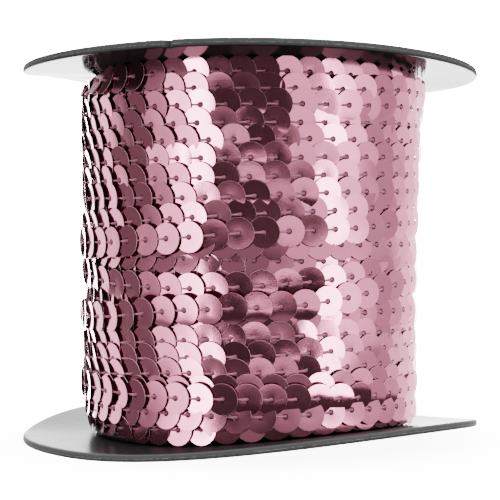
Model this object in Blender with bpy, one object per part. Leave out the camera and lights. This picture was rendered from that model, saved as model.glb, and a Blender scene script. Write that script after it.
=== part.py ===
"""Sequin trim wound on a flanged plastic spool.

The spool stands on its lower flange with its axis on +Z and the middle of its foot at the origin.
An azimuth is measured round the axis from the front (-Y), positive towards the right (+X).
"""

import math

import bmesh
import bpy
import numpy as np

MM = 0.001

FLANGE_RADIUS = 46.75 * MM
FLANGE_THICKNESS = 1.45 * MM
RIM_ROUNDING = 0.4 * MM
SPINDLE_RADIUS = 8 * MM
SPOOL_HEIGHT = 76.2 * MM  # to the upper flange's top at its hub
BARREL_RADIUS = 15 * MM
BARREL_WALL = 1.5 * MM
COLLAR_WALL = 1.5 * MM
COLLAR_DEPTH = 6 * MM
GAP = 0.3 * MM  # between neighbouring pieces
FLANGE_STEPS = 72

# Thin flanges bend out of flat beyond the barrel. Each row is one bend: where it is centred, how far
# to each side it reaches, and how high it lifts the rim there.
BENDS = ("azimuth_deg", "reach_deg", "lift_mm")
LOWER_BENDS = (
    (44, 92, 4.8),
    (-135, 50, 2.4),
)
UPPER_BENDS = (
    (-5, 60, 0.4),
    (95, 75, -0.9),
    (-118, 42, 2.1),
)

# The upper rim has one V notch that catches the end of the trim.
NOTCH_AZIMUTH_DEG = -18.5
NOTCH_WIDTH = 2.1 * MM
NOTCH_DEPTH = 1.5 * MM

# The winding's outer layer, a row for each turn from the top down. The heights above the foot are
# those of the turn's middle on the left, at the front and on the right. A turn stands proud of the
# winding by proud_mm, and tilt says which of its edges stands out: 1 the upper, -1 the lower, 0 both.
WINDING_RADIUS_TOP = 34.6 * MM
WINDING_RADIUS_FOOT = 33.5 * MM
TURN_RELIEF = 0.45 * MM
LEVEL_TURN_CROWN = 0.6  # how far the crown of a turn with no tilt stands out, in reliefs
END_INSET = 0.9 * MM  # how far the winding draws in at its two ends
HEIGHT_AZIMUTHS_DEG = (-51, -3, 57)
TURN_COLUMNS = ("left_mm", "front_mm", "right_mm", "proud_mm", "tilt")
TURNS = (
    (72.6, 72.4, 72.6, -0.2, 1),
    (69.6, 68.9, 69.9, 0.0, 1),
    (65.9, 66.0, 66.8, 0.1, 1),
    (62.6, 62.6, 63.5, 0.1, 1),
    (59.4, 59.4, 60.2, 0.0, 1),
    (55.9, 56.0, 56.9, 0.0, 1),
    (52.3, 52.4, 53.6, 0.0, 1),
    (48.9, 48.8, 50.3, 0.1, 1),
    (44.0, 45.5, 47.5, 0.3, 1),
    (40.4, 42.0, 44.0, 0.7, 0),
    (38.5, 39.6, 40.6, 0.0, -1),
    (36.2, 36.9, 38.2, -0.4, -1),
    (32.3, 32.0, 35.6, 0.1, 1),
    (27.0, 28.1, 31.9, 0.7, 0),
    (24.2, 25.5, 27.1, -0.4, -1),
    (20.9, 22.6, 23.0, 0.0, 1),
    (17.9, 19.1, 20.0, 0.0, 1),
    (14.9, 15.9, 17.0, 0.1, 1),
    (12.7, 13.3, 13.4, 0.0, 1),
    (10.6, 10.9, 9.8, 0.7, 0),
    (7.8, 7.6, 7.6, 0.2, -1),
    (4.6, 5.0, 5.9, -0.2, -1),
)
WINDING_STEPS = 56
PROFILE_SHARES = (0.08, 0.5, 0.92)  # a turn's profile points, as shares of the way down it


def row(columns, values):
    """A table's row as a dictionary from column name to value."""
    return dict(zip(columns, values, strict=True))


def lift(bends, azimuth_deg, radius):
    """How far the bends raise a flange at this place: nothing on the barrel, then in proportion outwards."""
    outwards = max(0.0, (radius - BARREL_RADIUS) / (FLANGE_RADIUS - BARREL_RADIUS))
    total = 0.0
    for values in bends:
        bend = row(BENDS, values)
        away = (azimuth_deg - bend["azimuth_deg"] + 180) % 360 - 180
        if abs(away) < bend["reach_deg"]:
            total += bend["lift_mm"] * MM * math.cos(math.pi / 2 * away / bend["reach_deg"]) ** 2
    return total * outwards


def azimuth_of(x, y):
    """The azimuth of a point, in degrees."""
    return math.degrees(math.atan2(x, -y))


def plastic(name, colour, roughness):
    """A Principled material of one colour."""
    material = bpy.data.materials.new(name)
    material.use_nodes = True
    shader = material.node_tree.nodes["Principled BSDF"]
    shader.inputs["Base Color"].default_value = (*colour, 1)
    shader.inputs["Roughness"].default_value = roughness
    return material


def add_object(name, bm, collection, material=None):
    """Puts a bmesh into the scene as one smooth-shaded object."""
    bmesh.ops.recalc_face_normals(bm, faces=bm.faces)
    mesh = bpy.data.meshes.new(name)
    bm.to_mesh(mesh)
    bm.free()
    mesh.shade_smooth()
    mesh.set_sharp_from_angle(angle=math.radians(40))
    if material:
        mesh.materials.append(material)
    thing = bpy.data.objects.new(name, mesh)
    collection.objects.link(thing)
    return thing


def turned(profile, steps):
    """A closed profile of (radius, height) points turned once round the axis."""
    bm = bmesh.new()
    points = [bm.verts.new((radius, 0, height)) for radius, height in profile]
    edges = [bm.edges.new((points[i - 1], points[i])) for i in range(len(points))]
    bmesh.ops.spin(
        bm,
        geom=points + edges,
        axis=(0, 0, 1),
        cent=(0, 0, 0),
        angle=2 * math.pi,
        steps=steps,
    )
    bmesh.ops.remove_doubles(bm, verts=bm.verts, dist=0.001 * MM)
    return bm


def rim_profile(height):
    """The flange's rounded edge, from its top face round to its underside, height being the underside's."""
    inner = FLANGE_RADIUS - RIM_ROUNDING
    middle = RIM_ROUNDING / 4
    return [
        (inner, height + FLANGE_THICKNESS),
        (FLANGE_RADIUS - middle, height + FLANGE_THICKNESS - middle),
        (FLANGE_RADIUS, height + FLANGE_THICKNESS - RIM_ROUNDING),
        (FLANGE_RADIUS, height + RIM_ROUNDING),
        (FLANGE_RADIUS - middle, height + middle),
        (inner, height),
    ]


def bend_flange(bm, bends, above=None, below=None):
    """Raises the flange's points by its bends, leaving those of the barrel or the collar where they are."""
    for point in bm.verts:
        if (above is None or point.co.z > above) and (below is None or point.co.z < below):
            radius = math.hypot(point.co.x, point.co.y)
            point.co.z += lift(bends, azimuth_of(point.co.x, point.co.y), radius)


def make_lower_flange(collection, material):
    """The lower flange, moulded in one with the hollow barrel that carries the winding."""
    top = FLANGE_THICKNESS
    barrel_top = SPOOL_HEIGHT - FLANGE_THICKNESS - GAP
    bore = BARREL_RADIUS - BARREL_WALL
    profile = [
        (bore, barrel_top),
        (BARREL_RADIUS, barrel_top),
        (BARREL_RADIUS, top),
        ((BARREL_RADIUS + FLANGE_RADIUS) / 2, top),
        *rim_profile(0),
        ((BARREL_RADIUS + FLANGE_RADIUS) / 2, 0),
        (BARREL_RADIUS, 0),
        (SPINDLE_RADIUS, 0),
        (SPINDLE_RADIUS, top),
        (bore, top),
    ]
    bm = turned(profile, FLANGE_STEPS)
    bend_flange(bm, LOWER_BENDS, below=barrel_top / 2)
    return add_object("lower_flange", bm, collection, material)


def make_upper_flange(collection, material):
    """The upper flange, whose collar plugs into the barrel."""
    under = SPOOL_HEIGHT - FLANGE_THICKNESS
    collar = BARREL_RADIUS - BARREL_WALL - GAP
    foot = under - COLLAR_DEPTH
    profile = [
        (SPINDLE_RADIUS, SPOOL_HEIGHT),
        (BARREL_RADIUS, SPOOL_HEIGHT),
        ((BARREL_RADIUS + FLANGE_RADIUS) / 2, SPOOL_HEIGHT),
        *rim_profile(under),
        ((BARREL_RADIUS + FLANGE_RADIUS) / 2, under),
        (BARREL_RADIUS, under),
        (collar, under),
        (collar, foot),
        (collar - COLLAR_WALL, foot),
        (collar - COLLAR_WALL, under),
        (SPINDLE_RADIUS, under),
    ]
    bm = turned(profile, FLANGE_STEPS)
    bend_flange(bm, UPPER_BENDS, above=foot + COLLAR_DEPTH / 2)
    return add_object("upper_flange", bm, collection, material)


def cut_notch(flange, cutters):
    """Cuts the V notch through the upper flange's rim with a prism whose edge points inwards."""
    overshoot = 1.5 * MM
    tall = 4 * FLANGE_THICKNESS
    azimuth = math.radians(NOTCH_AZIMUTH_DEG)
    depth = NOTCH_DEPTH + overshoot
    half = NOTCH_WIDTH / 2 * depth / NOTCH_DEPTH
    bm = bmesh.new()
    plan = ((0, 0), (depth, -half), (depth, half))
    base = bm.faces.new([bm.verts.new((x, y, -tall / 2)) for x, y in plan])
    raised = bmesh.ops.extrude_face_region(bm, geom=[base])["geom"]
    moved = [part for part in raised if isinstance(part, bmesh.types.BMVert)]
    bmesh.ops.translate(bm, verts=moved, vec=(0, 0, tall))
    cutter = add_object("notch_cutter", bm, cutters)
    inner = FLANGE_RADIUS - NOTCH_DEPTH
    height = SPOOL_HEIGHT - FLANGE_THICKNESS / 2
    height += lift(UPPER_BENDS, NOTCH_AZIMUTH_DEG, FLANGE_RADIUS)
    cutter.location = (inner * math.sin(azimuth), -inner * math.cos(azimuth), height)
    cutter.rotation_euler = (0, 0, azimuth - math.pi / 2)
    cutter.hide_render = True
    cutter.display_type = "WIRE"
    cut = flange.modifiers.new("notch", "BOOLEAN")
    cut.operation = "DIFFERENCE"
    cut.solver = "EXACT"
    cut.object = cutter


def turn_heights(turn, azimuths):
    """A turn's height at each azimuth, straight between the three that its row gives and round the back."""
    front = (turn["left_mm"], turn["front_mm"], turn["right_mm"])
    back = (front[0] + front[2]) / 2
    known = (-180, *HEIGHT_AZIMUTHS_DEG, 180)
    return np.interp(azimuths, known, (back, *front, back)) * MM


def winding_radius(height):
    """The winding's mean radius, a little more at the top than at the foot."""
    return WINDING_RADIUS_FOOT + (WINDING_RADIUS_TOP - WINDING_RADIUS_FOOT) * height / SPOOL_HEIGHT


def turn_rings(turn, upper, lower):
    """The three rings of one turn, between the heights of its upper and its lower edge."""
    rings = []
    for share in PROFILE_SHARES:
        height = upper + (lower - upper) * share
        across = 1 - 2 * share
        bulge = turn["tilt"] * across if turn["tilt"] else LEVEL_TURN_CROWN - abs(across)
        rings.append((winding_radius(height) + turn["proud_mm"] * MM + TURN_RELIEF * bulge, height))
    return rings


def winding_rings():
    """The winding's skin as (radius, height) rings, one value an azimuth: outside, foot, inside, top."""
    azimuths = -180 + 360 / WINDING_STEPS * np.arange(WINDING_STEPS)
    around = np.ones(WINDING_STEPS)
    inner = BARREL_RADIUS + GAP
    shoulder = WINDING_RADIUS_TOP - END_INSET
    foot = WINDING_RADIUS_FOOT - END_INSET
    top = SPOOL_HEIGHT - FLANGE_THICKNESS - GAP
    bottom = FLANGE_THICKNESS + GAP

    def top_edge(radius):
        return top + np.minimum([lift(UPPER_BENDS, azimuth, radius) for azimuth in azimuths], 0)

    def bottom_edge(radius):
        return bottom + np.array([lift(LOWER_BENDS, azimuth, radius) for azimuth in azimuths])

    turns = [row(TURN_COLUMNS, values) for values in TURNS]
    heights = [turn_heights(turn, azimuths) for turn in turns]
    middles = [(above + below) / 2 for above, below in zip(heights, heights[1:])]
    edges = [top_edge(WINDING_RADIUS_TOP), *middles, bottom_edge(WINDING_RADIUS_TOP)]
    rings = []
    for turn, upper, lower in zip(turns, edges, edges[1:]):
        rings += turn_rings(turn, upper, lower)
    rings.append((foot * around, bottom_edge(foot)))
    rings.append((inner * around, bottom * around))
    rings.append((inner * around, top * around))
    rings.append((shoulder * around, top_edge(shoulder)))
    return azimuths, rings


def make_winding(collection, material):
    """The wound trim as one ring-shaped solid whose skin is lofted through unlike closed rings."""
    azimuths, rings = winding_rings()
    turned_by = np.radians(azimuths)
    bm = bmesh.new()
    loops = []
    for radius, height in rings:
        places = np.stack([radius * np.sin(turned_by), -radius * np.cos(turned_by), height], axis=1)
        loops.append([bm.verts.new(place) for place in places])
    for loop, after in zip(loops, loops[1:] + loops[:1]):
        for i in range(WINDING_STEPS):
            bm.faces.new((loop[i - 1], loop[i], after[i], after[i - 1]))
    return add_object("winding", bm, collection, material)


def new_collection(name):
    """A collection linked to the scene."""
    collection = bpy.data.collections.new(name)
    bpy.context.scene.collection.children.link(collection)
    return collection


for leftover in list(bpy.data.objects):
    bpy.data.objects.remove(leftover)

trim_on_spool = new_collection("sequin_trim_on_spool")
cutting = new_collection("cutters")
cutting.hide_render = True

GLOSSY = 0.15
SATIN = 0.3
BLACK = (0.02, 0.021, 0.021)
ROSE = (0.62, 0.25, 0.34)
black_plastic = plastic("black_plastic", BLACK, GLOSSY)
black_plastic_upper = plastic("black_plastic_upper", BLACK, GLOSSY)
rose_sequins = plastic("rose_sequins", ROSE, SATIN)
rose_sequins.node_tree.nodes["Principled BSDF"].inputs["Metallic"].default_value = 1

make_lower_flange(trim_on_spool, black_plastic)
cut_notch(make_upper_flange(trim_on_spool, black_plastic_upper), cutting)
make_winding(trim_on_spool, rose_sequins)
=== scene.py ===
import math

import bpy
import numpy as np
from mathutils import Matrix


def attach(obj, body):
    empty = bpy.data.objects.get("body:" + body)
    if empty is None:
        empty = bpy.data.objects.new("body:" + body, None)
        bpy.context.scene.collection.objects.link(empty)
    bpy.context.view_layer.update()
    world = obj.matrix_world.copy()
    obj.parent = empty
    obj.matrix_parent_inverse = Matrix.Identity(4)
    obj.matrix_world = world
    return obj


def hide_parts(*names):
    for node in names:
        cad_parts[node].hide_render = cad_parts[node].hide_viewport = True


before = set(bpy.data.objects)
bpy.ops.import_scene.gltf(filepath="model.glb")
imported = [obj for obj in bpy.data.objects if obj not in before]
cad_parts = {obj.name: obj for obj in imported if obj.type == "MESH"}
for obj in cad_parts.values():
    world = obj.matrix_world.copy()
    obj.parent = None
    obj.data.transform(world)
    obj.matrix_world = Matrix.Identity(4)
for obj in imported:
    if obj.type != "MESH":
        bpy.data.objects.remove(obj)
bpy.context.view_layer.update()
MM = 0.001

# Camera.
# It stands level with the middle of the spool, 310 mm in front of its axis, and sees a square of
# about 19 degrees, so that one millimetre on the axis is 4.8 pixels of a 500 pixel frame.
CAMERA_DISTANCE = 310 * MM
CAMERA_HEIGHT = 38.9 * MM
SENSOR_MM = 36.0
LENS_MM = 107.28
camera_data = bpy.data.cameras.new("camera")
camera_data.sensor_width = SENSOR_MM
camera_data.lens = LENS_MM
camera_data.clip_start = 0.01
camera = bpy.data.objects.new("camera", camera_data)
camera.location = (0, -CAMERA_DISTANCE, CAMERA_HEIGHT)
camera.rotation_euler = (math.radians(90), 0, 0)
bpy.context.scene.collection.objects.link(camera)
bpy.context.scene.camera = camera

# Spool: two thin flanges.
# Injection-moulded black polystyrene. The lower flange carries the hollow barrel, the upper one has a
# notch for the trim's end and plugs in. Both bend a little out of flat, and their edges are rounded.
FLANGE_RADIUS = 46.75 * MM
FLANGE_THICKNESS = 1.45 * MM
SPINDLE_RADIUS = 8 * MM
SPOOL_HEIGHT = 76.2 * MM
BARREL_RADIUS = 15 * MM
BARREL_WALL = 1.5 * MM
COLLAR_DEPTH = 6 * MM
GAP = 0.3 * MM
LOWER_BENDS = ((44, 92, 4.8), (-135, 50, 2.4))
UPPER_BENDS = ((-5, 60, 0.4), (95, 75, -0.9), (-118, 42, 2.1))
NOTCH_AZIMUTH = -18.5
NOTCH_WIDTH = 2.1 * MM
NOTCH_DEPTH = 1.5 * MM
NOTCH_ROOT = 40.5 * MM  # inside this radius the notch moves nothing


def linear(hex_colour):
    """An sRGB hex colour as linear red, green and blue with full alpha."""
    values = [int(hex_colour[i : i + 2], 16) / 255 for i in (1, 3, 5)]
    curve = [v / 12.92 if v <= 0.04045 else ((v + 0.055) / 1.055) ** 2.4 for v in values]
    return (*curve, 1.0)


def add_node(tree, kind, settings=None, links=None):
    """Adds a node, sets its settings and input values by name or place, and links its inputs."""
    node = tree.nodes.new(kind)
    for name, value in (settings or {}).items():
        if isinstance(name, int) or name in node.inputs:
            node.inputs[name].default_value = value
        else:
            setattr(node, name, value)
    for name, source in (links or {}).items():
        tree.links.new(source, node.inputs[name])
    return node


def new_material(name):
    """An empty node material and its tree, with an output node to link to."""
    material = bpy.data.materials.new(name)
    material.use_nodes = True
    material.node_tree.nodes.clear()
    output = add_node(material.node_tree, "ShaderNodeOutputMaterial")
    return material, material.node_tree, output


def new_piece(name, points, faces, materials, sharp_angle=None, material_of=None):
    """A mesh object at the origin, from an array of points and an array of four-sided faces."""
    mesh = bpy.data.meshes.new(name)
    count = len(faces)
    mesh.vertices.add(len(points))
    mesh.vertices.foreach_set("co", np.ascontiguousarray(points, np.float32).ravel())
    mesh.loops.add(4 * count)
    mesh.loops.foreach_set("vertex_index", np.ascontiguousarray(faces, np.int32).ravel())
    mesh.polygons.add(count)
    mesh.polygons.foreach_set("loop_start", np.arange(0, 4 * count, 4, dtype=np.int32))
    for material in materials:
        mesh.materials.append(material)
    if material_of is not None:
        mesh.polygons.foreach_set("material_index", np.ascontiguousarray(material_of, np.int32))
    mesh.update(calc_edges=True)
    mesh.shade_smooth()
    if sharp_angle:
        mesh.set_sharp_from_angle(angle=math.radians(sharp_angle))
    piece = bpy.data.objects.new(name, mesh)
    bpy.context.scene.collection.objects.link(piece)
    return piece


def ring_faces(rows, columns, closed_rows, first=0):
    """The faces of a grid that goes round in its columns, and also in its rows where closed_rows says so."""
    i = np.arange(rows if closed_rows else rows - 1)[:, None]
    j = np.arange(columns)[None, :]
    after_i = (i + 1) % rows
    after_j = (j + 1) % columns
    corners = (i * columns + j, i * columns + after_j, after_i * columns + after_j, after_i * columns + j)
    return np.stack(np.broadcast_arrays(*corners), axis=-1).reshape(-1, 4) + first


def place(azimuth_deg, radius, height):
    """Points round the axis: azimuth 0 is the front, and it grows towards the right."""
    azimuth = np.radians(azimuth_deg)
    return np.stack([radius * np.sin(azimuth), -radius * np.cos(azimuth), height + 0 * azimuth], axis=-1)


def lift(bends, azimuth_deg, radius):
    """A squared cosine across each bend's reach, times the share of the way from the barrel to the rim."""
    outwards = np.clip((radius - BARREL_RADIUS) / (FLANGE_RADIUS - BARREL_RADIUS), 0, None)
    total = 0 * azimuth_deg
    for centre, reach, rise in bends:
        away = (azimuth_deg - centre + 180) % 360 - 180
        total = total + rise * MM * np.cos(np.pi / 2 * np.clip(away / reach, -1, 1)) ** 2
    return total * outwards


def flange_profile(under, top_side, bottom_side):
    """The section from the hub over the top, round the rim with its parting line and back underneath.

    The rows are (radius, height); top_side and bottom_side are what joins it up at the hub.
    """
    top = under + FLANGE_THICKNESS
    across = np.array([15.0, 17.5, 20, 23, 26, 29, 32, 35, 38, 40.5, 42.5, 44.3, 45.4]) * MM
    rim = [
        (-0.62, 1.45), (-0.42, 1.42), (-0.26, 1.34), (-0.14, 1.21), (-0.075, 1.05), (-0.05, 0.8),
        (-0.035, 0.63), (0.0, 0.6), (0.0, 0.54), (-0.04, 0.51), (-0.06, 0.42), (-0.1, 0.3),
        (-0.18, 0.16), (-0.3, 0.06), (-0.46, 0.01), (-0.66, 0.0),
    ]
    edge = [(FLANGE_RADIUS + a * MM, under + b * MM) for a, b in rim]
    top_face = [(r, top) for r in across]
    bottom_face = [(r, under) for r in across[::-1]]
    return np.array([*top_side, *top_face, *edge, *bottom_face, *bottom_side])


def make_flange(name, profile, bends, near_rim, material, wear_and_painted_light, notch=False):
    """The section turned round the axis, then bent; columns stand closer at the notch."""
    azimuths = np.arange(-180, 180, 1.25)
    if notch:
        azimuths = np.unique(np.concatenate([azimuths, NOTCH_AZIMUTH + np.arange(-3, 3.01, 0.2)]))
    radius = np.repeat(profile[:, :1], len(azimuths), axis=1)
    height = np.repeat(profile[:, 1:], len(azimuths), axis=1)
    if notch:
        # a V whose two outer corners are rounded: its depth falls in a straight line from the middle
        aside = np.abs(azimuths - NOTCH_AZIMUTH) * math.pi / 180 * FLANGE_RADIUS / (NOTCH_WIDTH / 2)
        inwards = 1 - np.clip(aside, 0, 1.3)
        depth = NOTCH_DEPTH * np.clip(np.sqrt(inwards ** 2 + 0.02) + 1 - aside, 0, None) / 2
        share = np.clip((radius - NOTCH_ROOT) / (FLANGE_RADIUS - NOTCH_ROOT), 0, 1)
        radius = radius - depth[None, :] * share
    grid_azimuth = np.repeat(azimuths[None, :], len(profile), axis=0)
    bent = lift(bends, grid_azimuth, radius) * near_rim[:, None]
    points = place(grid_azimuth, radius, height + bent).reshape(-1, 3)
    faces = ring_faces(len(profile), len(azimuths), closed_rows=True)[:, ::-1]
    side = np.repeat((profile[:, 0] > FLANGE_RADIUS - 0.3 * MM).astype(np.float32), len(azimuths))
    flange = new_piece(name, points, faces, [material], sharp_angle=32)
    flange.data.attributes.new("side", "FLOAT", "POINT").data.foreach_set("value", side)
    ridge = np.repeat((profile[:, 0] > FLANGE_RADIUS - 0.001 * MM).astype(np.float32), len(azimuths))
    flange.data.attributes.new("parting_line", "FLOAT", "POINT").data.foreach_set("value", ridge)
    # one value for the whole flange: its wear sets the gloss, and at 0 its faces are painted lighter, painted
    # light
    wear_and_light_values = np.full(len(points), wear_and_painted_light, np.float32)
    flange.data.attributes.new("wear_and_painted_light", "FLOAT", "POINT").data.foreach_set("value", wear_and_light_values)
    return flange


# High-impact polystyrene, moulded against a polished tool: near black, a sharp gloss at low angles,
# a fine orange peel, hair scratches from handling, and dust in the moulding's skin.
polystyrene, tree, output = new_material("black_moulded_polystyrene")
coordinates = add_node(tree, "ShaderNodeTexCoord")
peel = add_node(
    tree,
    "ShaderNodeTexNoise",
    {"Scale": 1 / (2.2 * MM), "Detail": 2.0},
    {"Vector": coordinates.outputs["Object"]},
)
grain = add_node(
    tree,
    "ShaderNodeTexNoise",
    {"Scale": 1 / (0.35 * MM), "Detail": 3.0},
    {"Vector": coordinates.outputs["Object"]},
)
stretched = add_node(
    tree,
    "ShaderNodeMapping",
    {"Scale": (1, 14, 1), "Rotation": (0, 0, 0.6)},
    {"Vector": coordinates.outputs["Object"]},
)
scratches = add_node(
    tree,
    "ShaderNodeTexNoise",
    {"Scale": 1 / (3 * MM), "Detail": 5.0, "Roughness": 0.7},
    {"Vector": stretched.outputs[0]},
)
rim_side = add_node(tree, "ShaderNodeAttribute", {"attribute_name": "side"})
face_gloss = add_node(
    tree, "ShaderNodeMapRange", {1: 0.35, 2: 0.7, 3: 0.08, 4: 0.16}, {0: scratches.outputs["Fac"]}
)
wear_and_painted_light = add_node(tree, "ShaderNodeAttribute", {"attribute_name": "wear_and_painted_light"})
worn_gloss = add_node(
    tree,
    "ShaderNodeMath",
    {"operation": "MULTIPLY_ADD", 1: 0.17},
    {0: wear_and_painted_light.outputs["Fac"], 2: face_gloss.outputs[0]},
)
gloss = add_node(
    tree,
    "ShaderNodeMapRange",
    {1: 0.0, 2: 1.0, 4: 0.5},
    {0: rim_side.outputs["Fac"], 3: worn_gloss.outputs[0]},
)
peel_bump = add_node(
    tree, "ShaderNodeBump", {"Strength": 0.25, "Distance": 0.02 * MM}, {"Height": peel.outputs["Fac"]}
)
grain_bump = add_node(
    tree,
    "ShaderNodeBump",
    {"Strength": 0.3, "Distance": 0.004 * MM},
    {"Height": grain.outputs["Fac"], "Normal": peel_bump.outputs[0]},
)
broken = add_node(
    tree, "ShaderNodeMapRange", {1: 0.45, 2: 0.6, 3: 0.0, 4: 1.0}, {0: scratches.outputs["Fac"]}
)
parting = add_node(tree, "ShaderNodeAttribute", {"attribute_name": "parting_line"})
scuffed = add_node(
    tree, "ShaderNodeMath", {"operation": "MULTIPLY"}, {0: parting.outputs["Fac"], 1: broken.outputs[0]}
)
# painted light: at 0, on the upper flange, the faces get the lighter #2a2e2d for the light its underside
# misses; at 1 they keep #202222
face = add_node(
    tree,
    "ShaderNodeMixRGB",
    {"Color1": linear("#2a2e2d"), "Color2": linear("#202222")},
    {"Fac": wear_and_painted_light.outputs["Fac"]},
)
# the rim's side is rougher, and painted a lighter grey #4a4b4b: painted light for the light the sidewall
# catches
body = add_node(
    tree,
    "ShaderNodeMixRGB",
    {"Color2": linear("#4a4b4b")},
    {"Fac": rim_side.outputs["Fac"], "Color1": face.outputs[0]},
)
colour = add_node(
    tree,
    "ShaderNodeMixRGB",
    {"Color2": linear("#8a8a8a")},
    {"Fac": scuffed.outputs[0], "Color1": body.outputs[0]},
)
glossy = add_node(
    tree,
    "ShaderNodeBsdfPrincipled",
    {"IOR": 1.59},
    {"Base Color": colour.outputs[0], "Roughness": gloss.outputs[0], "Normal": grain_bump.outputs[0]},
)
matt = add_node(tree, "ShaderNodeBsdfDiffuse", None, {"Color": colour.outputs[0]})
dulled = add_node(tree, "ShaderNodeMapRange", {1: 0.0, 2: 1.0, 3: 0.86, 4: 0.74}, {0: wear_and_painted_light.outputs["Fac"]})
skin = add_node(
    tree, "ShaderNodeMixShader", None, {"Fac": dulled.outputs[0], 1: glossy.outputs[0], 2: matt.outputs[0]}
)
tree.links.new(skin.outputs[0], output.inputs[0])

bore = BARREL_RADIUS - BARREL_WALL
barrel_top = SPOOL_HEIGHT - FLANGE_THICKNESS - GAP
lower_profile = flange_profile(
    0.0,
    [
        (SPINDLE_RADIUS, FLANGE_THICKNESS - 0.2 * MM), (SPINDLE_RADIUS + 0.2 * MM, FLANGE_THICKNESS),
        (bore - 0.3 * MM, FLANGE_THICKNESS), (bore, FLANGE_THICKNESS + 0.3 * MM),
        (bore, barrel_top - 0.2 * MM), (bore + 0.2 * MM, barrel_top), (BARREL_RADIUS - 0.2 * MM, barrel_top),
        (BARREL_RADIUS, barrel_top - 0.2 * MM), (BARREL_RADIUS, FLANGE_THICKNESS + 0.3 * MM),
    ],
    [(SPINDLE_RADIUS + 0.2 * MM, 0.0), (SPINDLE_RADIUS, 0.2 * MM)],
)
lower_bent = np.where(lower_profile[:, 1] < 2 * FLANGE_THICKNESS, 1.0, 0.0)
lower_flange = make_flange(
    "spool_lower_flange", lower_profile, LOWER_BENDS, lower_bent, polystyrene, wear_and_painted_light=1.0
)

under = SPOOL_HEIGHT - FLANGE_THICKNESS
collar = bore - GAP
inner_collar = collar - BARREL_WALL
upper_profile = flange_profile(
    under,
    [(SPINDLE_RADIUS, SPOOL_HEIGHT - 0.2 * MM), (SPINDLE_RADIUS + 0.2 * MM, SPOOL_HEIGHT)],
    [
        (collar, under), (collar, under - COLLAR_DEPTH + 0.2 * MM), (collar - 0.2 * MM, under - COLLAR_DEPTH),
        (inner_collar, under - COLLAR_DEPTH), (inner_collar, under),
        (SPINDLE_RADIUS + 0.2 * MM, under), (SPINDLE_RADIUS, under + 0.2 * MM),
    ],
)
upper_bent = np.ones(len(upper_profile))
# at 0 the upper flange's faces are painted lighter: painted light for the light its underside misses
upper_flange = make_flange(
    "spool_upper_flange", upper_profile, UPPER_BENDS, upper_bent, polystyrene, wear_and_painted_light=0.0, notch=True
)

for piece, node in ((lower_flange, "lower_flange"), (upper_flange, "upper_flange")):
    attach(piece, "root")
    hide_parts(node)

# Trim: the turns underneath.
# The string goes round the barrel many times before the turns that show. Its inner turns are one
# wound body, in the dark of the layers above it.
CORE_RADIUS = 32.3 * MM
CORE_ROUNDING = 0.6 * MM
CORE_WAVE = 0.2 * MM
CORE_RINGS = 19
rose_dark, tree, output = new_material("metallised_film_in_shade")
coordinates = add_node(tree, "ShaderNodeTexCoord")
turns = add_node(
    tree,
    "ShaderNodeTexWave",
    {"Scale": 1 / (3.4 * MM) / 2, "bands_direction": "Z", "Distortion": 2.0},
    {"Vector": coordinates.outputs["Object"]},
)
shade = add_node(tree, "ShaderNodeMapRange", {1: 0.0, 2: 1.0, 3: 0.25, 4: 0.5}, {0: turns.outputs["Fac"]})
# painted shade: the inner turns' film is given a dark #5a414a for the dark under the layers above
shader = add_node(
    tree,
    "ShaderNodeBsdfPrincipled",
    {"Base Color": linear("#5a414a"), "Metallic": 0.1},
    {"Roughness": shade.outputs[0]},
)
tree.links.new(shader.outputs[0], output.inputs[0])

azimuths = np.arange(-180, 180, 3.0)
top_edge = under - GAP + np.minimum(lift(UPPER_BENDS, azimuths, CORE_RADIUS), 0)
bottom_edge = FLANGE_THICKNESS + GAP + lift(LOWER_BENDS, azimuths, CORE_RADIUS)
core_inner = BARREL_RADIUS + GAP
core_rings = [(CORE_RADIUS, top_edge - CORE_ROUNDING)]
for share in np.linspace(0.05, 0.95, CORE_RINGS):
    ring_radius = CORE_RADIUS + CORE_WAVE * math.cos(share * 120)
    core_rings.append((ring_radius, top_edge + (bottom_edge - top_edge) * share))
core_rings += [
    (CORE_RADIUS, bottom_edge + CORE_ROUNDING), (CORE_RADIUS - CORE_ROUNDING, bottom_edge),
    (core_inner, 0 * azimuths + FLANGE_THICKNESS + GAP), (core_inner, 0 * azimuths + under - GAP),
    (CORE_RADIUS - CORE_ROUNDING, top_edge),
]
core_points = np.concatenate([place(azimuths, radius, height) for radius, height in core_rings])
core_faces = ring_faces(len(core_rings), len(azimuths), closed_rows=True)[:, ::-1]
core = new_piece("trim_inner_turns", core_points, core_faces, [rose_dark], sharp_angle=40)
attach(core, "root")

# Trim: sequins.
# Flat sequins 6 mm across with a hole in the middle, punched from metallised polyester film and strung
# so that each one's right edge lies on the next. The turns lie as they were wound, some over others.
SEQUIN_RADIUS = 3 * MM
HOLE_MM = 0.56
WINDING_RADIUS_TOP = 34.5 * MM
WINDING_RADIUS_FOOT = 33.7 * MM
LEAN_DEG = 5.5
AZIMUTHS = (-78, -51, -23.5, -3, 15.4, 32.5, 57, 78)
STANDING_AZIMUTHS = (-75, -50, -20, 30, 57)
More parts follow.
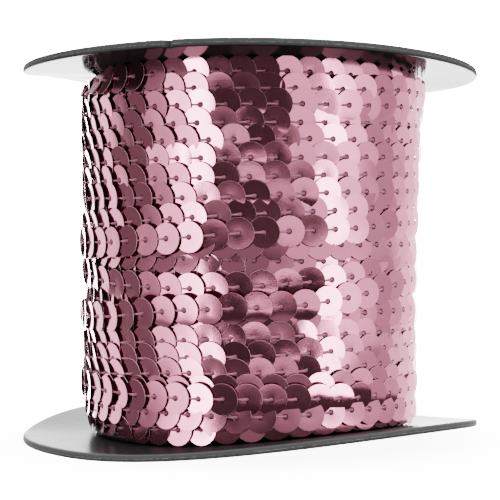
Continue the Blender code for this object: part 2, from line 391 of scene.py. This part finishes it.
# A row for each turn from the top: its heights in mm at AZIMUTHS, the azimuth of the sequin nearest
# the front, the step between sequins, how far it stands proud in mm, and how far its top edges lean out,
# in degrees. Five values are those at STANDING_AZIMUTHS.
TURNS = (
    ((73.0, 72.7, 72.6, 72.5, 72.3, 72.2, 72.9, 73.2), -3.0, 7.40,
        (-1.3, 0.3, -0.6, -0.4, -0.3), (-38, -13, 3, 4, 4)),
    ((70.4, 69.6, 69.1, 68.9, 68.9, 69.0, 70.0, 70.6), -1.9, 7.90,
        (-0.2, -0.7, -0.2, 0.85, 1.3), (-3, -3, 6, 6, 6)),
    ((66.3, 65.9, 65.9, 66.0, 66.0, 66.1, 66.8, 67.2), 0.3, 7.90, (0.0, 0.0, 0.0, 0.8, 1.2), 8),
    ((62.8, 62.6, 62.5, 62.6, 62.6, 62.9, 63.5, 64.0), -0.5, 8.10, (0.0, 0.0, 0.0, 0.4, 0.6), 8),
    ((59.6, 59.4, 59.3, 59.4, 59.6, 59.7, 60.2, 60.8), 2.9, 7.90, (0.0, 0.0, 0.0, 0.4, 0.6), 8),
    ((56.0, 55.9, 56.0, 56.0, 56.1, 56.4, 56.9, 57.4), 0.2, 7.85, (0.0, 0.0, 0.0, 0.4, 0.6), 8),
    ((52.5, 52.3, 52.3, 52.4, 52.7, 53.1, 53.6, 54.2), -0.2, 7.85, (0.0, 0.0, 0.0, 0.4, 0.6), 8),
    ((49.4, 48.9, 48.6, 48.8, 49.4, 49.8, 50.3, 51.0), 1.4, 7.70, (0.0, 0.0, 0.0, 0.4, 0.6), 8),
    ((43.8, 44.0, 44.8, 45.5, 45.9, 46.5, 47.5, 48.0), -3.0, 7.65, 0.15, 7),
    ((40.4, 40.4, 41.1, 42.0, 42.4, 42.9, 44.0, 44.6), -3.5, 7.75, (0.75, 0.75, 0.75, 0.6, 0.4), 3),
    ((40.0, 40.3, 40.6, 40.2, 40.1, 39.9, 40.0, 40.2), -0.4, 7.65, 0.0, -6),
    ((38.6, 38.3, 37.5, 37.1, 36.8, 36.9, 37.9, 38.4), 1.3, 7.60, (-0.55, -0.55, -0.55, -0.4, -0.1), -6),
    ((34.6, 32.3, 31.6, 32.0, 32.7, 33.6, 35.9, 37.2), 3.8, 7.70, 0.0, 7),
    ((25.6, 26.0, 27.6, 28.1, 28.5, 29.9, 32.3, 33.5), 2.0, 7.60,
        (0.75, 0.75, 0.75, 0.6, 0.3), (2, 2, 9, 5, 2)),
    ((30.2, 28.3, 25.5, 26.0, 26.5, 26.9, 27.1, 27.3), 3.3, 7.40, (-0.5, -0.5, -0.5, -0.2, 0.2), -2),
    ((20.2, 20.9, 21.9, 22.6, 22.9, 23.0, 23.0, 23.2), 1.5, 7.65, 0.0, 7),
    ((17.3, 17.9, 18.7, 19.1, 19.5, 20.0, 20.0, 20.2), 3.1, 7.80, 0.0, 8),
    ((14.4, 14.9, 15.9, 15.9, 16.3, 16.8, 17.0, 17.2), 2.8, 7.50, 0.0, 8),
    ((11.8, 11.9, 12.5, 13.0, 13.0, 13.4, 14.0, 14.3), -0.5, 7.70,
        (0.0, 0.0, 0.0, 0.25, 0.1), (7, 7, 7, 11, 8)),
    ((12.0, 11.5, 11.2, 11.2, 11.1, 10.9, 11.2, 11.3), -1.0, 7.60,
        (0.75, 0.75, 0.75, 0.5, 0.3), (3, 3, 2, 10, 9)),
    ((8.6, 8.2, 8.2, 7.8, 8.0, 8.7, 8.3, 8.2), 3.3, 7.75, (0.1, 0.1, 0.1, 0.3, 0.3), (0, 0, -3, -7, -8)),
    ((4.9, 4.4, 5.1, 5.6, 5.8, 6.2, 6.6, 6.6), 0.4, 8.10,
        (-1.3, -0.8, -0.45, -0.45, -0.45), (35, 20, -5, -5, -5)),
)
LEAD_IN = 22  # sequins of the first turn left of its front one, so that it comes from behind
FRONT_REACH_DEG = 75  # how far to each side of the front a turn keeps its own step
BACK_STEP_DEG = 7.75
draw = np.random.default_rng(7)


def string_path():
    """The hole of every sequin along the string: azimuth, height, how proud it stands and its edge lean.

    The first turn comes from behind. Each turn runs left to right across the front at its own step,
    then round the back in even steps to where the next turn begins, its height and lean sliding over
    as it goes.
    """
    pieces = []
    last = None
    for heights, phase, step, proud, tilt in TURNS:
        count_left = int((FRONT_REACH_DEG + phase) / step) if last is not None else LEAD_IN
        count_right = int((FRONT_REACH_DEG - phase) / step)
        azimuth = phase + step * np.arange(-count_left, count_right + 1)
        height = np.interp(azimuth, AZIMUTHS, heights)
        stands = np.interp(azimuth, STANDING_AZIMUTHS, np.broadcast_to(proud, 5))
        leans = np.interp(azimuth, STANDING_AZIMUTHS, np.broadcast_to(tilt, 5))
        if last is not None:
            gap_deg = azimuth[0] + 360 - last[0]
            steps = round(gap_deg / BACK_STEP_DEG)
            share = np.arange(1, steps) / steps
            smooth = share * share * (3 - 2 * share)
            back = [last[0] + gap_deg * share]
            for value, following in zip(last[1:], (height[0], stands[0], leans[0])):
                back.append(value + (following - value) * smooth)
            pieces.append(np.stack(back))
        pieces.append(np.stack([azimuth, height, stands, leans]))
        last = (azimuth[-1], height[-1], stands[-1], leans[-1])
    return np.concatenate(pieces, axis=1)


def sequin_frames(azimuth, height, proud, tilt, lean, base_radius=None):
    """Each sequin's centre and its own right, up and outward directions.

    Outward starts from the axis, turns left by the lean, then down by the edge lean.
    """
    if base_radius is None:
        base_radius = WINDING_RADIUS_FOOT + (WINDING_RADIUS_TOP - WINDING_RADIUS_FOOT) * height / 76
    around = np.radians(azimuth)
    zero = 0 * around
    centre = place(azimuth, base_radius + proud * MM, height * MM)
    right = np.stack([np.cos(around), np.sin(around), zero], axis=-1)
    up = np.stack([zero, zero, zero + 1], axis=-1)
    outward = np.stack([np.sin(around), -np.cos(around), zero], axis=-1)
    turned = np.radians(lean)[:, None]
    leaned_right = right * np.cos(turned) + outward * np.sin(turned)
    leaned_out = outward * np.cos(turned) - right * np.sin(turned)
    tipped = np.radians(tilt)[:, None]
    return (
        centre,
        leaned_right,
        up * np.cos(tipped) + leaned_out * np.sin(tipped),
        leaned_out * np.cos(tipped) - up * np.sin(tipped),
    )


def make_sequins(name, frames, bend, curl, segments, rings, materials):
    """Many thin punched discs: rings of (radius, height) round each centre, bent a little along one line.

    The curl is how far the foot of each is pushed in by the turn that lies on it.
    """
    centre, right, up, outward = frames
    count = len(centre)
    turn = np.arange(segments) * 2 * math.pi / segments
    ring_radius = np.array([r for r, _ in rings])[:, None] * MM
    ring_height = np.array([h for _, h in rings])[:, None] * MM
    x = ring_radius * np.cos(turn)
    y = ring_radius * np.sin(turn)
    amount, direction = bend
    across = x[None] * np.cos(direction)[:, None, None] + y[None] * np.sin(direction)[:, None, None]
    z = ring_height + amount[:, None, None] * MM * (across / SEQUIN_RADIUS) ** 2
    z = z - curl[:, None, None] * MM * np.clip((-y - 0.9 * MM) / (2.1 * MM), 0, 1) ** 2
    points = (
        centre[:, None, None, :]
        + right[:, None, None, :] * x[None, :, :, None]
        + up[:, None, None, :] * y[None, :, :, None]
        + outward[:, None, None, :] * z[..., None]
    )
    one = ring_faces(len(rings), segments, closed_rows=True)[:, ::-1]
    faces = (one[None] + (np.arange(count) * len(rings) * segments)[:, None, None]).reshape(-1, 4)
    # the last two bands of faces are the cut edge and the back
    band = np.repeat([*[0] * (len(rings) - 2), 1, 2], segments)
    piece = new_piece(
        name, points.reshape(-1, 3), faces, materials, sharp_angle=35, material_of=np.tile(band, count)
    )
    tone = np.repeat(draw.random(count), len(rings) * segments)
    piece.data.attributes.new("sequin", "FLOAT", "POINT").data.foreach_set("value", tone.astype(np.float32))
    return piece


# Polyester film with a vacuum-metallised back and a rose lacquer: a mirror that tints what it
# reflects, with a clear hard face, a fine grain from the film's filler and hair scratches.
rose_film, tree, output = new_material("rose_metallised_polyester_film")
coordinates = add_node(tree, "ShaderNodeTexCoord")
own = add_node(tree, "ShaderNodeAttribute", {"attribute_name": "sequin"})
grain = add_node(
    tree,
    "ShaderNodeTexNoise",
    {"Scale": 1 / (0.25 * MM), "Detail": 2.0},
    {"Vector": coordinates.outputs["Object"]},
)
cloud = add_node(
    tree,
    "ShaderNodeTexNoise",
    {"Scale": 1 / (2.5 * MM), "Detail": 1.0},
    {"Vector": coordinates.outputs["Object"]},
)
film_gloss = add_node(tree, "ShaderNodeMapRange", {1: 0.0, 2: 1.0, 3: 0.07, 4: 0.16}, {0: own.outputs["Fac"]})
wave = add_node(
    tree, "ShaderNodeBump", {"Strength": 0.3, "Distance": 0.03 * MM}, {"Height": cloud.outputs["Fac"]}
)
fine = add_node(
    tree,
    "ShaderNodeBump",
    {"Strength": 0.5, "Distance": 0.009 * MM},
    {"Height": grain.outputs["Fac"], "Normal": wave.outputs[0]},
)
shader = add_node(
    tree,
    "ShaderNodeBsdfPrincipled",
    {"Base Color": linear("#e693a7"), "Metallic": 1.0, "Coat Weight": 0.12, "Coat Roughness": 0.4},
    {"Roughness": film_gloss.outputs[0], "Normal": fine.outputs[0]},
)
tree.links.new(shader.outputs[0], output.inputs[0])

# The punched edge shows the clear film itself, a thin pale line.
cut_edge, tree, output = new_material("clear_film_cut_edge")
shader = add_node(
    tree, "ShaderNodeBsdfPrincipled", {"Base Color": linear("#d7a9b6"), "Roughness": 0.35, "IOR": 1.57}
)
tree.links.new(shader.outputs[0], output.inputs[0])

# The back is the metallised side under its rose lacquer, duller and darker.
film_back, tree, output = new_material("lacquered_film_back")
coordinates = add_node(tree, "ShaderNodeTexCoord")
dull = add_node(
    tree,
    "ShaderNodeTexNoise",
    {"Scale": 1 / (1.0 * MM), "Detail": 2.0},
    {"Vector": coordinates.outputs["Object"]},
)
back_gloss = add_node(tree, "ShaderNodeMapRange", {1: 0.3, 2: 0.7, 3: 0.3, 4: 0.5}, {0: dull.outputs["Fac"]})
shader = add_node(
    tree,
    "ShaderNodeBsdfPrincipled",
    {"Base Color": linear("#6c4c57"), "Metallic": 0.1},
    {"Roughness": back_gloss.outputs[0]},
)
tree.links.new(shader.outputs[0], output.inputs[0])
FILM = [rose_film, cut_edge, film_back]

# rings of (radius, height) in mm: the hole, two on the face and the foot of the cut edge
SEQUIN_RINGS = ((HOLE_MM, 0.0), (1.7, 0.02), (2.97, 0.015), (3.0, -0.06))
SEQUIN_SEGMENTS = 20
LEAN_SPREAD_DEG = 1.7
TILT_SPREAD_DEG = 1.9
PROUD_SPREAD_MM = 0.05
FLAT_MM = 0.03  # how far most sequins are bent out of flat
BENT_MM = 0.1
BENT_SHARE = 0.2
CURL_MM = 0.22
TURNS_RIM = 35 * MM  # where the turns' edges come near the flanges
FOOT_CLEARANCE = 0.1 * MM
TOP_ALLOWANCE = 0.15 * MM
string = string_path()
count = string.shape[1]
lean = LEAN_DEG + draw.normal(0, LEAN_SPREAD_DEG, count)
tilt = string[3] + draw.normal(0, TILT_SPREAD_DEG, count)
proud = string[2] + draw.normal(0, PROUD_SPREAD_MM, count)
reach = SEQUIN_RADIUS * np.cos(np.radians(tilt))
lowest = FLANGE_THICKNESS + lift(LOWER_BENDS, string[0], TURNS_RIM) + reach + FOOT_CLEARANCE
highest = under + lift(UPPER_BENDS, string[0], TURNS_RIM) - reach + TOP_ALLOWANCE
height = np.clip(string[1], lowest / MM, highest / MM)
outer_frames = sequin_frames(string[0], height, proud, tilt, lean)
# most are nearly flat, and one in five is bent more than three times as much
crumple = np.where(draw.random(count) < BENT_SHARE, BENT_MM, FLAT_MM)
bend = (-np.abs(draw.normal(0, 1, count)) * crumple, draw.uniform(0, math.pi, count))
# turns that lean out are pressed in at the foot, and so is the first one but for its left part
curl = np.where((string[3] > 5) | ((string[1] > 71) & (string[0] > -25)), CURL_MM, 0.0)
parts = np.array_split(np.arange(count), 2)
for which, part in zip(("upper", "lower"), parts):
    frames = tuple(values[part] for values in outer_frames)
    sequins = make_sequins(
        f"sequins_{which}_turns",
        frames,
        (bend[0][part], bend[1][part]),
        curl[part],
        SEQUIN_SEGMENTS,
        SEQUIN_RINGS,
        FILM,
    )
    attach(sequins, "root")
    if which == "upper":
        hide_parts("winding")

# The layer under the outer turns, seen in the gaps between them.
UNDER_RISE_MM = 3.3
UNDER_A_TURN = 46
UNDER_STEP_DEG = 7.8
UNDER_SHIFT_DEG = 2.9
UNDER_RADIUS = 33.1 * MM
UNDER_SEGMENTS = 14
UNDER_RINGS = ((HOLE_MM, 0.0), (2.95, 0.04), (3.0, -0.03))
# its top keeps this far below the upper flange, and further on the half round this azimuth
UNDER_DROP_MM = 1.2
DEEPER_DROP_MM = 4.0
DEEPER_AZIMUTH = -60
under_azimuth = []
under_height = []
for turn, base in enumerate(np.arange(4.2, 73, UNDER_RISE_MM)):
    azimuth = turn * UNDER_SHIFT_DEG + UNDER_STEP_DEG * np.arange(UNDER_A_TURN)
    under_azimuth.append(azimuth)
    under_height.append(base + UNDER_RISE_MM * azimuth / 360 * 0.5 + 0 * azimuth)
under_azimuth = np.concatenate(under_azimuth)
lowest = FLANGE_THICKNESS + lift(LOWER_BENDS, under_azimuth, TURNS_RIM) + SEQUIN_RADIUS
highest = under + lift(UPPER_BENDS, under_azimuth, TURNS_RIM) - SEQUIN_RADIUS
deeper_half = np.cos(np.radians(under_azimuth - DEEPER_AZIMUTH)) > 0
drop = np.where(deeper_half, DEEPER_DROP_MM, UNDER_DROP_MM)
under_height = np.clip(np.concatenate(under_height), lowest / MM, highest / MM - drop)
count = len(under_azimuth)
under_frames = sequin_frames(
    under_azimuth, under_height, draw.normal(0, 0.1, count), 5 + draw.normal(0, 3, count),
    7 + draw.normal(0, 2, count), base_radius=UNDER_RADIUS,
)
under_bend = (draw.normal(0, 0.05, count), draw.uniform(0, math.pi, count))
under_sequins = make_sequins(
    "sequins_layer_below", under_frames, under_bend, np.zeros(count), UNDER_SEGMENTS, UNDER_RINGS, FILM
)
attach(under_sequins, "root")

# Trim: thread.
# Twisted rose polyester thread. It comes out of each hole and runs left over the sequin's face until
# it goes under the neighbour's edge and up through its hole.
THREAD_SIDES = 6
polyester, tree, output = new_material("twisted_polyester_thread")
coordinates = add_node(tree, "ShaderNodeTexCoord")
ply = add_node(
    tree,
    "ShaderNodeTexNoise",
    {"Scale": 1 / (0.3 * MM), "Detail": 2.0},
    {"Vector": coordinates.outputs["Object"]},
)
ply_bump = add_node(
    tree, "ShaderNodeBump", {"Strength": 0.5, "Distance": 0.05 * MM}, {"Height": ply.outputs["Fac"]}
)
painted_hole_shade = add_node(tree, "ShaderNodeAttribute", {"attribute_name": "painted_hole_shade"})
# painted shade: the thread is painted darker, #8a5062, in and at the hole, for the shadow in it
yarn_and_hole_shade = add_node(
    tree,
    "ShaderNodeMixRGB",
    {"Color1": linear("#b4788a"), "Color2": linear("#8a5062")},
    {"Fac": painted_hole_shade.outputs["Fac"]},
)
shader = add_node(
    tree,
    "ShaderNodeBsdfPrincipled",
    {"Roughness": 0.6, "Sheen Weight": 0.1},
    {"Base Color": yarn_and_hole_shade.outputs[0], "Normal": ply_bump.outputs[0]},
)
tree.links.new(shader.outputs[0], output.inputs[0])


def make_stitches(name, frames, material):
    """A tube for each sequin but the first: up through its hole, then left to behind the neighbour's hole."""
    centre, right, up, outward = frames
    here = centre[1:]
    out_here = outward[1:]
    before = centre[:-1]
    out_before = outward[:-1]
    along = here - before
    length = np.linalg.norm(along, axis=1, keepdims=True)
    along = along / length
    start = here - 0.5 * MM * out_here
    inside = here - 0.18 * MM * out_here
    crest = here + 0.06 * MM * out_here - 0.3 * MM * along
    over = here + 0.13 * MM * out_here - 0.75 * MM * along
    end = before - 0.3 * MM * out_before + 0.7 * MM * along
    middle = (over + end) / 2
    path = np.stack([start, inside, crest, over, middle, end], axis=1)
    radii = np.array([0.45, 0.48, 0.3, 0.19, 0.18, 0.18]) * MM
    side = np.cross(along, out_here)
    side /= np.linalg.norm(side, axis=1, keepdims=True)
    slope = np.gradient(path, axis=1)
    slope /= np.linalg.norm(slope, axis=2, keepdims=True)
    other = np.cross(slope, side[:, None, :])
    turn = np.arange(THREAD_SIDES) * 2 * math.pi / THREAD_SIDES
    ring = side[:, None, None, :] * np.cos(turn)[None, None, :, None]
    ring = ring + other[:, :, None, :] * np.sin(turn)[None, None, :, None]
    points = path[:, :, None, :] + radii[None, :, None, None] * ring
    rows = path.shape[1]
    # both ends are closed by a point on the path
    tip_start = np.repeat(path[:, :1, None, :], THREAD_SIDES, axis=2)
    tip_end = np.repeat(path[:, -1:, None, :], THREAD_SIDES, axis=2)
    points = np.concatenate([tip_start, points, tip_end], axis=1)
    one = ring_faces(rows + 2, THREAD_SIDES, closed_rows=False)
    faces = (one[None] + (np.arange(len(here)) * (rows + 2) * THREAD_SIDES)[:, None, None]).reshape(-1, 4)
    piece = new_piece(name, points.reshape(-1, 3), faces, [material])
    # painted shade for each ring of the tube: 1 in and at the hole, 0 over the sequin's face
    shade = np.array([1.0, 1.0, 1.0, 0.7, 0.0, 0.0, 0.0, 0.0])
    shade = np.tile(np.repeat(shade, THREAD_SIDES), len(here))
    piece.data.attributes.new("painted_hole_shade", "FLOAT", "POINT").data.foreach_set("value", shade.astype(np.float32))
    return piece


thread = make_stitches("thread", outer_frames, polyester)
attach(thread, "root")

# Floor and light.
# A plain white floor, and a light tent: two bright side panels, a dim opening towards the camera and
# a white ground behind.
floor_material, tree, output = new_material("white_paper_floor")
paper = add_node(tree, "ShaderNodeBsdfDiffuse", {"Color": linear("#f2f2f2")})
coordinates = add_node(tree, "ShaderNodeTexCoord")
away = add_node(tree, "ShaderNodeVectorMath", {"operation": "LENGTH"}, {0: coordinates.outputs["Object"]})
# painted light: the floor glows, from 5 near the spool to 20 further out, so it fades into the white ground
# and its shadow shows only near the foot
fade = add_node(tree, "ShaderNodeMapRange", {1: 0.035, 2: 0.1, 3: 5.0, 4: 20.0}, {0: away.outputs["Value"]})
painted_floor_glow = add_node(tree, "ShaderNodeEmission", {"Color": (1, 1, 1, 1)}, {"Strength": fade.outputs[0]})
both = add_node(tree, "ShaderNodeAddShader", None, {0: paper.outputs[0], 1: painted_floor_glow.outputs[0]})
tree.links.new(both.outputs[0], output.inputs[0])
half = 3.0
floor_mesh = bpy.data.meshes.new("floor")
floor_mesh.from_pydata(
    [(-half, -half, 0), (half, -half, 0), (half, half, 0), (-half, half, 0)], [], [(0, 1, 2, 3)]
)
floor_mesh.materials.append(floor_material)
floor = bpy.data.objects.new("floor", floor_mesh)
floor.visible_glossy = False
floor.visible_diffuse = False
bpy.context.scene.collection.objects.link(floor)

world = bpy.data.worlds.new("light_tent")
bpy.context.scene.world = world
world.use_nodes = True
tree = world.node_tree
tree.nodes.clear()
direction = add_node(tree, "ShaderNodeTexCoord")
split = add_node(tree, "ShaderNodeSeparateXYZ", None, {0: direction.outputs["Generated"]})
front = add_node(tree, "ShaderNodeMath", {"operation": "MULTIPLY", 1: -1.0}, {0: split.outputs["Y"]})
angle = add_node(
    tree, "ShaderNodeMath", {"operation": "ARCTAN2"}, {0: split.outputs["X"], 1: front.outputs[0]}
)
turn = add_node(tree, "ShaderNodeMapRange", {1: -math.pi, 2: math.pi, 3: 0.0, 4: 1.0}, {0: angle.outputs[0]})
STRONGEST = 28.0
# brightness by azimuth from the camera's side: what the sequins and the glossy plastic reflect
PANELS = {
    "under the table's edge": (
        (-180, 0.3), (180, 0.3),
    ),
    "low": (
        (-180, 28.0), (-163, 28.0), (-148, 1.8), (-118, 1.1), (-109, 0.25), (-68, 0.3), (-62, 1.6),
        (-56, 3.4), (-49, 4.8), (-45, 8.5), (-39, 0.06), (33, 0.05), (37, 7.5), (48, 6.5), (57, 0.9),
        (75, 0.5), (92, 0.6), (110, 1.6), (150, 2.0), (163, 28.0), (180, 28.0),
    ),
    "level": (
        (-180, 28.0), (-163, 28.0), (-148, 1.8), (-118, 1.7), (-109, 0.18), (-88, 0.18), (-82, 0.6),
        (-75, 0.9), (-70, 1.6), (-61, 2.2), (-56, 3.6), (-49, 4.8), (-44, 9.5), (-38, 0.06), (27, 0.06),
        (31, 0.7), (38, 0.8), (41, 7.5), (49, 6.5), (53, 2.2), (68, 1.4), (80, 0.65), (98, 0.6),
        (110, 1.4), (150, 2.0), (163, 28.0), (180, 28.0),
    ),
    "overhead": (
        (-180, 2.6), (180, 2.6),
    ),
    "high": (
        (-180, 8.0), (-163, 8.0), (-150, 2.0), (-112, 0.25), (-48, 0.3), (-36, 0.25), (8, 0.28),
        (18, 0.8), (40, 1.1), (90, 0.8), (150, 2.0), (163, 12.0), (180, 12.0),
    ),
}
bands = {}
for name, panels in PANELS.items():
    band = add_node(tree, "ShaderNodeValToRGB", None, {0: turn.outputs[0]})
    ramp = band.color_ramp
    ramp.elements[0].position = 0.0
    ramp.elements[1].position = 1.0
    for azimuth, _ in panels[1:-1]:
        ramp.elements.new((azimuth + 180) / 360)
    for element, (azimuth, strength) in zip(ramp.elements, panels):
        element.color = (strength / STRONGEST,) * 3 + (1,)
    bands[name] = band

# white cards near the camera, with wavy edges: azimuth and elevation in degrees, half width, half
# height and brightness
CARDS = (
    (24, -8, 13, 7, 1.25),
    (-2, -16.8, 12, 1.7, 1.7),
    (-6, -20.5, 5, 1.6, 0.7),
    (-20, -11.5, 3.5, 2.5, 1.3),
    (-30, -7, 6, 2, 1.2),
)
waver = add_node(
    tree, "ShaderNodeTexNoise", {"Scale": 9.0, "Detail": 2.0}, {"Vector": direction.outputs["Generated"]}
)
sideways = add_node(tree, "ShaderNodeMapRange", {1: 0.3, 2: 0.7, 3: -4.0, 4: 4.0}, {0: waver.outputs["Fac"]})
azimuth_deg = add_node(
    tree,
    "ShaderNodeMath",
    {"operation": "MULTIPLY_ADD", 1: math.degrees(1)},
    {0: angle.outputs[0], 2: sideways.outputs[0]},
)
rise = add_node(tree, "ShaderNodeMath", {"operation": "ARCSINE"}, {0: split.outputs["Z"]})
elevation_deg = add_node(
    tree, "ShaderNodeMath", {"operation": "MULTIPLY", 1: math.degrees(1)}, {0: rise.outputs[0]}
)
spot = add_node(tree, "ShaderNodeCombineXYZ", None, {0: azimuth_deg.outputs[0], 1: elevation_deg.outputs[0]})
lit = bands["level"]
for azimuth, elevation, half_width, half_height, strength in CARDS:
    offset = add_node(
        tree,
        "ShaderNodeVectorMath",
        {"operation": "SUBTRACT", 1: (azimuth, elevation, 0)},
        {0: spot.outputs[0]},
    )
    shrunk = add_node(
        tree,
        "ShaderNodeVectorMath",
        {"operation": "DIVIDE", 1: (half_width, half_height, 1)},
        {0: offset.outputs[0]},
    )
    away = add_node(tree, "ShaderNodeVectorMath", {"operation": "LENGTH"}, {0: shrunk.outputs[0]})
    card = add_node(
        tree,
        "ShaderNodeMapRange",
        {1: 0.93, 2: 1.07, 3: strength / STRONGEST, 4: 0.0},
        {0: away.outputs["Value"]},
    )
    lit = add_node(
        tree,
        "ShaderNodeMixRGB",
        {"blend_type": "LIGHTEN", "Fac": 1.0},
        {"Color1": lit.outputs[0], "Color2": card.outputs[0]},
    )
# above and below the level panels come the others, each from one elevation in degrees to a second
BAND_EDGES = {
    "high": (3.0, 9.0),
    "overhead": (28.0, 40.0),
    "low": (-18.0, -20.5),
    "under the table's edge": (-26.0, -30.0),
}
side_light = lit
for name, (edge, full) in BAND_EDGES.items():
    share = add_node(
        tree, "ShaderNodeMapRange", {1: edge, 2: full, 3: 0.0, 4: 1.0}, {0: elevation_deg.outputs[0]}
    )
    side_light = add_node(
        tree,
        "ShaderNodeMixRGB",
        None,
        {"Fac": share.outputs[0], "Color1": side_light.outputs[0], "Color2": bands[name].outputs[0]},
    )
# two thin dark lines across the ground behind
for elevation in (-6.8, 6.65):
    offset = add_node(
        tree, "ShaderNodeVectorMath", {"operation": "SUBTRACT", 1: (172, elevation, 0)}, {0: spot.outputs[0]}
    )
    shrunk = add_node(
        tree, "ShaderNodeVectorMath", {"operation": "DIVIDE", 1: (12, 0.35, 1)}, {0: offset.outputs[0]}
    )
    away = add_node(tree, "ShaderNodeVectorMath", {"operation": "LENGTH"}, {0: shrunk.outputs[0]})
    edge = add_node(tree, "ShaderNodeMapRange", {1: 0.8, 2: 1.2, 3: 0.0, 4: 1.0}, {0: away.outputs["Value"]})
    side_light = add_node(
        tree,
        "ShaderNodeMixRGB",
        {"blend_type": "MULTIPLY", "Fac": 1.0},
        {"Color1": side_light.outputs[0], "Color2": edge.outputs[0]},
    )
seen = add_node(tree, "ShaderNodeBackground", {"Color": (1, 1, 1, 1), "Strength": 20.0})
tent = add_node(tree, "ShaderNodeBackground", {"Strength": STRONGEST}, {"Color": side_light.outputs[0]})
path = add_node(tree, "ShaderNodeLightPath")
chosen = add_node(
    tree,
    "ShaderNodeMixShader",
    None,
    {0: path.outputs["Is Camera Ray"], 1: tent.outputs[0], 2: seen.outputs[0]},
)
world_output = add_node(tree, "ShaderNodeOutputWorld", None, {0: chosen.outputs[0]})

view = bpy.context.scene.view_settings
view.view_transform = "Filmic"
view.look = "Medium High Contrast"
